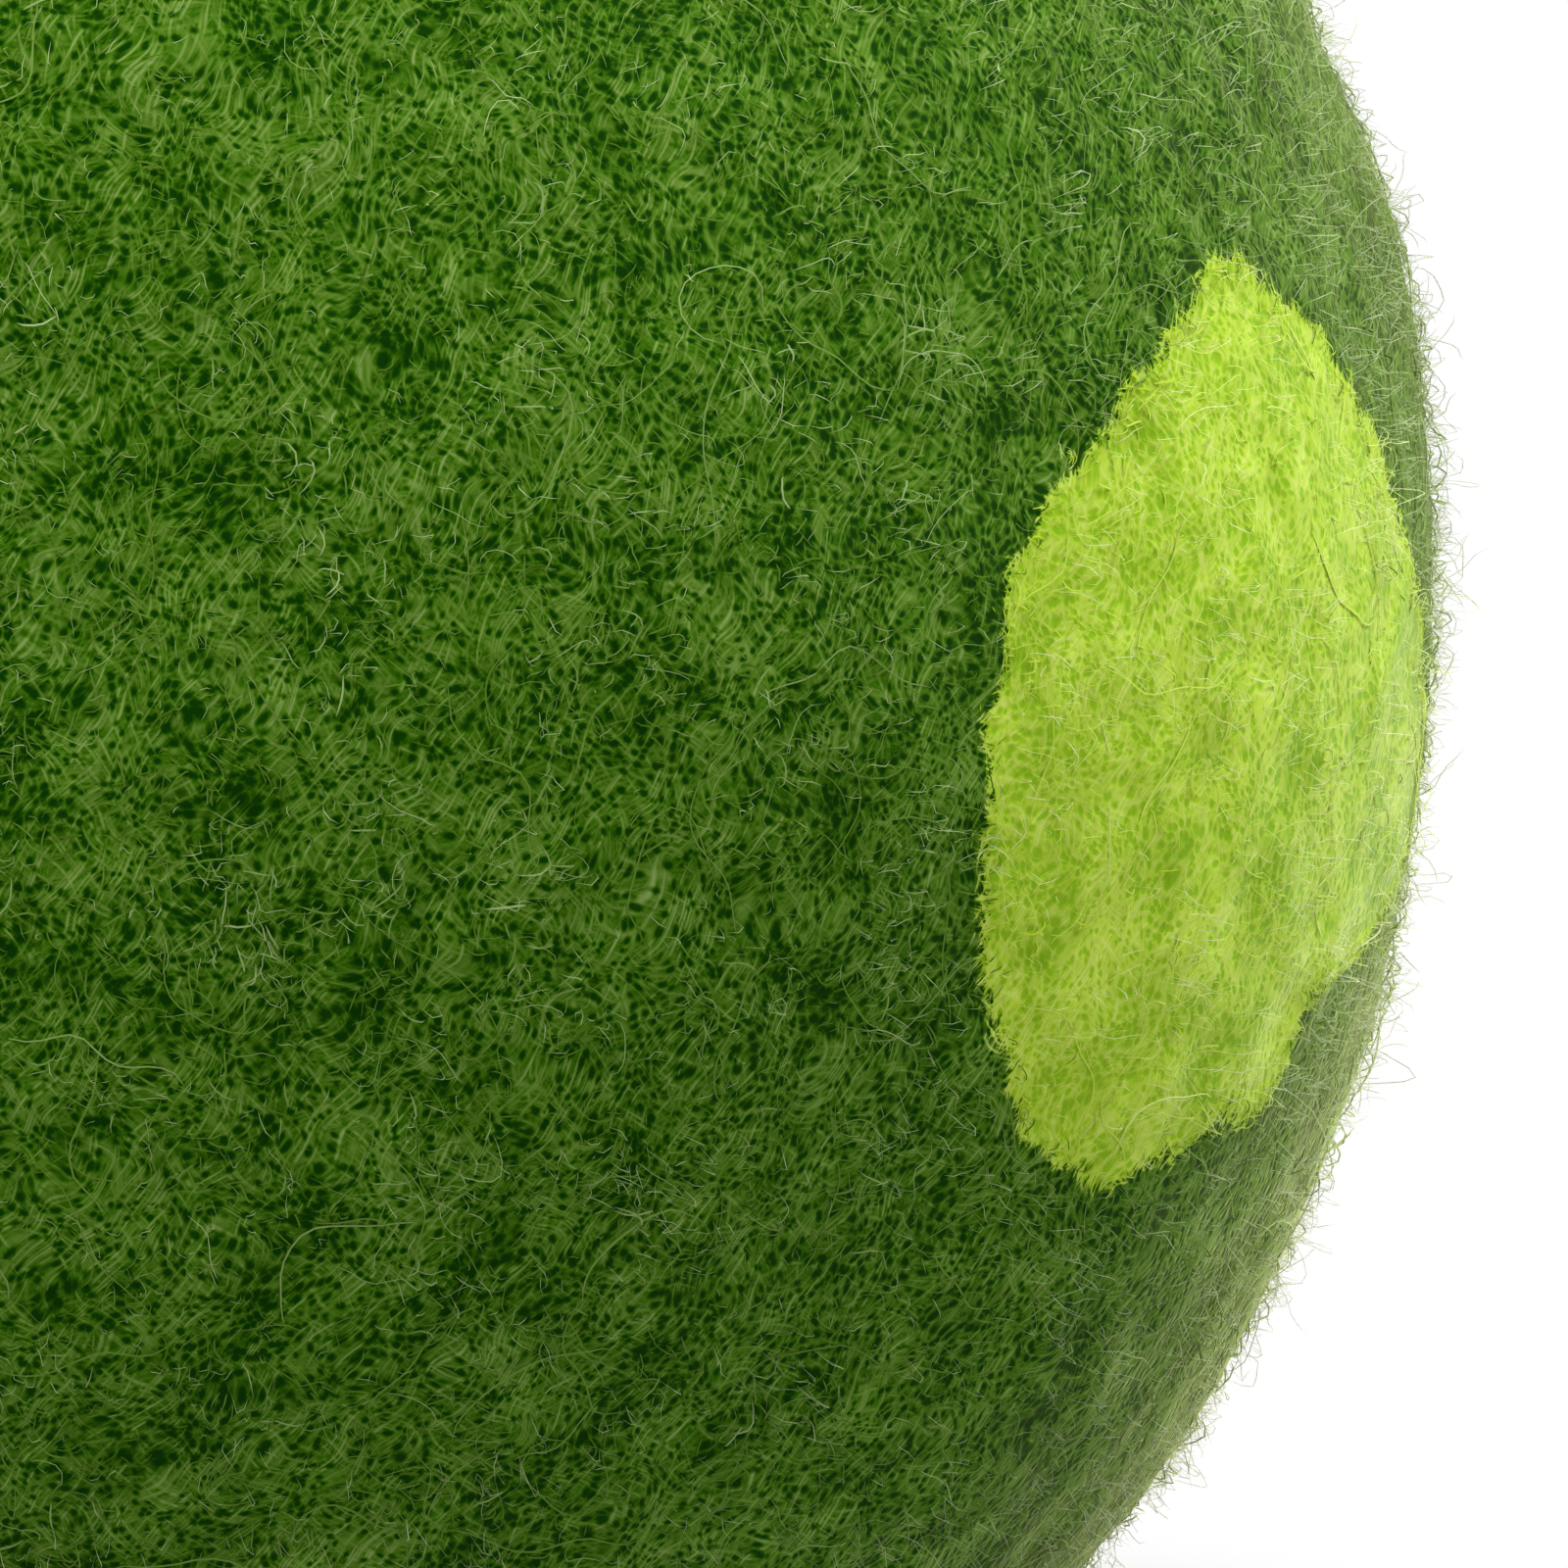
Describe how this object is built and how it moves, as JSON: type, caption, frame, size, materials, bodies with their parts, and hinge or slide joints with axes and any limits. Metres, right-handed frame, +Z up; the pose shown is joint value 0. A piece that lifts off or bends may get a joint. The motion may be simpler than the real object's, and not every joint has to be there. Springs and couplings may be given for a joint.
{
  "type": "rattle ball",
  "caption": "Soft ball of felted wool with round spots of a second colour, and a closed box of loose beads inside that rattles when the ball is rolled or shaken.",
  "frame": {"origin": "middle of the small flat on which the soft ball settles", "axes": "+Z up through the ball's centre, +X out through the first spot, +Y along the rattle box's axis"},
  "size_m": [0.07, 0.07, 0.0696],
  "materials": {
    "green_felt": "matte",
    "lime_felt": "matte",
    "plain_wool": "matte",
    "box_plastic": "satin",
    "bead_steel": "polished"
  },
  "bodies": {
    "ball": {"felt_shell": "green_felt", "spot_1": "lime_felt", "spot_2": "lime_felt", "spot_3": "lime_felt", "spot_4": "lime_felt", "spot_5": "lime_felt", "spot_6": "lime_felt", "wool_core": "plain_wool", "rattle_box_cup": "box_plastic", "rattle_box_lid": "box_plastic"},
    "bead_1": {"bead_1": "bead_steel"},
    "bead_2": {"bead_2": "bead_steel"},
    "bead_3": {"bead_3": "bead_steel"},
    "bead_4": {"bead_4": "bead_steel"},
    "bead_5": {"bead_5": "bead_steel"},
    "bead_6": {"bead_6": "bead_steel"}
  },
  "joints": [
    {"name": "bead_1_roll", "type": "hinge", "parent": "ball", "child": "bead_1", "pos_m": [0, -0.011, 0.03464], "axis": [0, 1, 0], "continuous": true},
    {"name": "bead_2_roll", "type": "hinge", "parent": "ball", "child": "bead_2", "pos_m": [0, -0.0066, 0.03464], "axis": [0, 1, 0], "continuous": true},
    {"name": "bead_3_roll", "type": "hinge", "parent": "ball", "child": "bead_3", "pos_m": [0, -0.0022, 0.03464], "axis": [0, 1, 0], "continuous": true},
    {"name": "bead_4_roll", "type": "hinge", "parent": "ball", "child": "bead_4", "pos_m": [0, 0.0022, 0.03464], "axis": [0, 1, 0], "continuous": true},
    {"name": "bead_5_roll", "type": "hinge", "parent": "ball", "child": "bead_5", "pos_m": [0, 0.0066, 0.03464], "axis": [0, 1, 0], "continuous": true},
    {"name": "bead_6_roll", "type": "hinge", "parent": "ball", "child": "bead_6", "pos_m": [0, 0.011, 0.03464], "axis": [0, 1, 0], "continuous": true}
  ]
}
